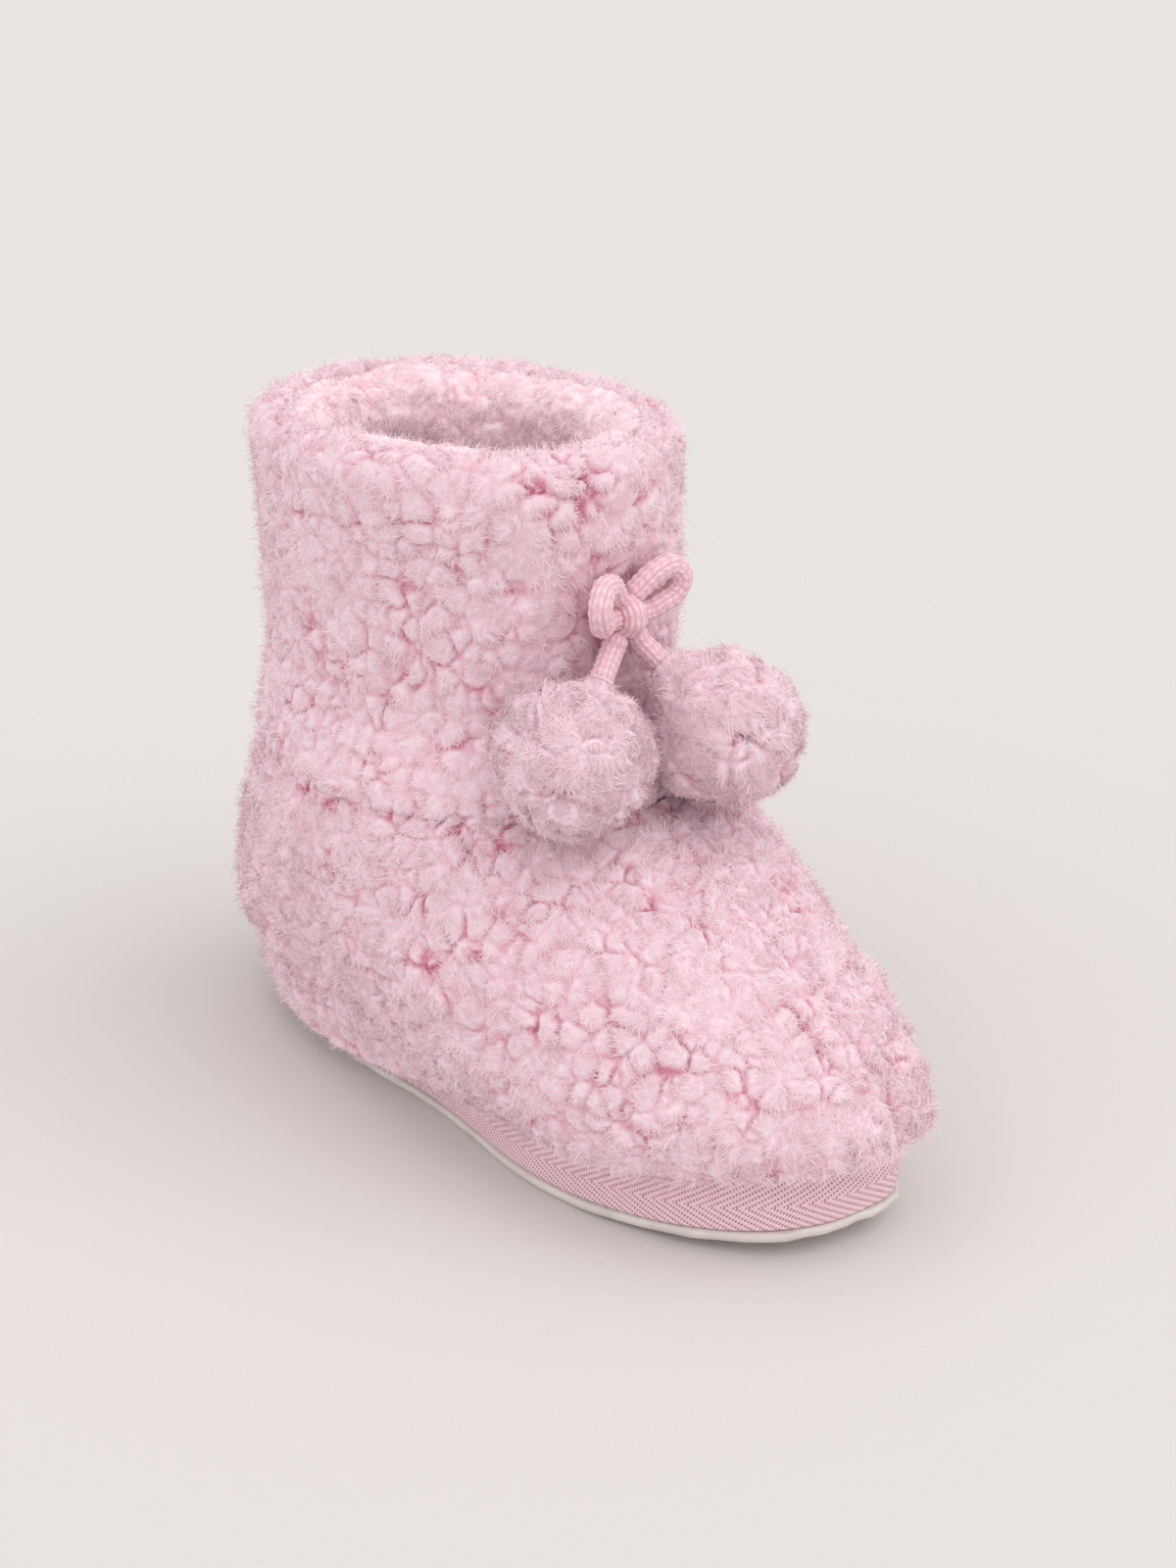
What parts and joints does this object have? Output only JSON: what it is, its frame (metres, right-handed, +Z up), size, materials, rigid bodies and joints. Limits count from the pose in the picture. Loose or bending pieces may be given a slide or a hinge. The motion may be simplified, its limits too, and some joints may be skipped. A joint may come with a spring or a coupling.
{
  "type": "baby bootie",
  "caption": "Ankle-high curly fleece bootie for a small child's right foot, with a flat taped sole, an open collar and a corded bow that carries two fleece pompons.",
  "frame": {"origin": "bottom centre of the boot's box, on the plane the sole rests on, the bow and pompons left out", "axes": "+X towards the toe, +Y towards the wearer's left, +Z up"},
  "size_m": [0.1638, 0.0844, 0.1257],
  "materials": {
    "outsole": "matte off-white rubber",
    "foam": "soft foam",
    "board": "pressed fibre board",
    "tape": "pink herringbone twill",
    "fleece": "curly pale pink fleece",
    "plush": "short warm pink plush",
    "thread": "pink sewing thread",
    "cord": "knitted pink cord",
    "wadding": "white polyester filling"
  },
  "bodies": {
    "boot": {"outsole": "outsole", "midsole_foam": "foam", "insole_board": "board", "foxing_tape": "tape", "footbed_foam": "foam", "footbed_cover": "plush", "foot_fleece_left": "fleece", "foot_fleece_right": "fleece", "foot_lining": "plush", "shaft_fleece": "fleece", "collar_facing": "fleece", "shaft_lining": "plush", "ankle_seam": "thread", "lining_seam": "thread", "front_seam": "thread", "heel_seam": "thread", "bow_knot": "cord", "bow_loop_left": "cord", "bow_loop_right": "cord", "bow_tack": "thread"},
    "tail_right": {"bow_tail_right": "cord"},
    "pompon_right": {"pompon_cover_right": "fleece", "pompon_filling_right": "wadding", "stopper_knot_right": "cord", "gather_thread_right": "thread", "pompon_cord_right": "cord"},
    "tail_left": {"bow_tail_left": "cord"},
    "pompon_left": {"pompon_cover_left": "fleece", "pompon_filling_left": "wadding", "stopper_knot_left": "cord", "gather_thread_left": "thread", "pompon_cord_left": "cord"}
  },
  "joints": [
    {"name": "tail_right_lift", "type": "hinge", "parent": "boot", "child": "tail_right", "pos_m": [0.01617, -0.00211, 0.09331], "axis": [0, -1, 0], "range_deg": [0, 50]},
    {"name": "pompon_right_swing", "type": "hinge", "parent": "tail_right", "child": "pompon_right", "pos_m": [0.01956, -0.00907, 0.08735], "axis": [-1, 0, 0], "range_deg": [0, 30]},
    {"name": "tail_left_lift", "type": "hinge", "parent": "boot", "child": "tail_left", "pos_m": [0.01617, 0.00273, 0.09331], "axis": [0, -1, 0], "range_deg": [0, 50]},
    {"name": "pompon_left_swing", "type": "hinge", "parent": "tail_left", "child": "pompon_left", "pos_m": [0.02027, 0.00584, 0.08783], "axis": [1, 0, 0], "range_deg": [0, 30]}
  ]
}
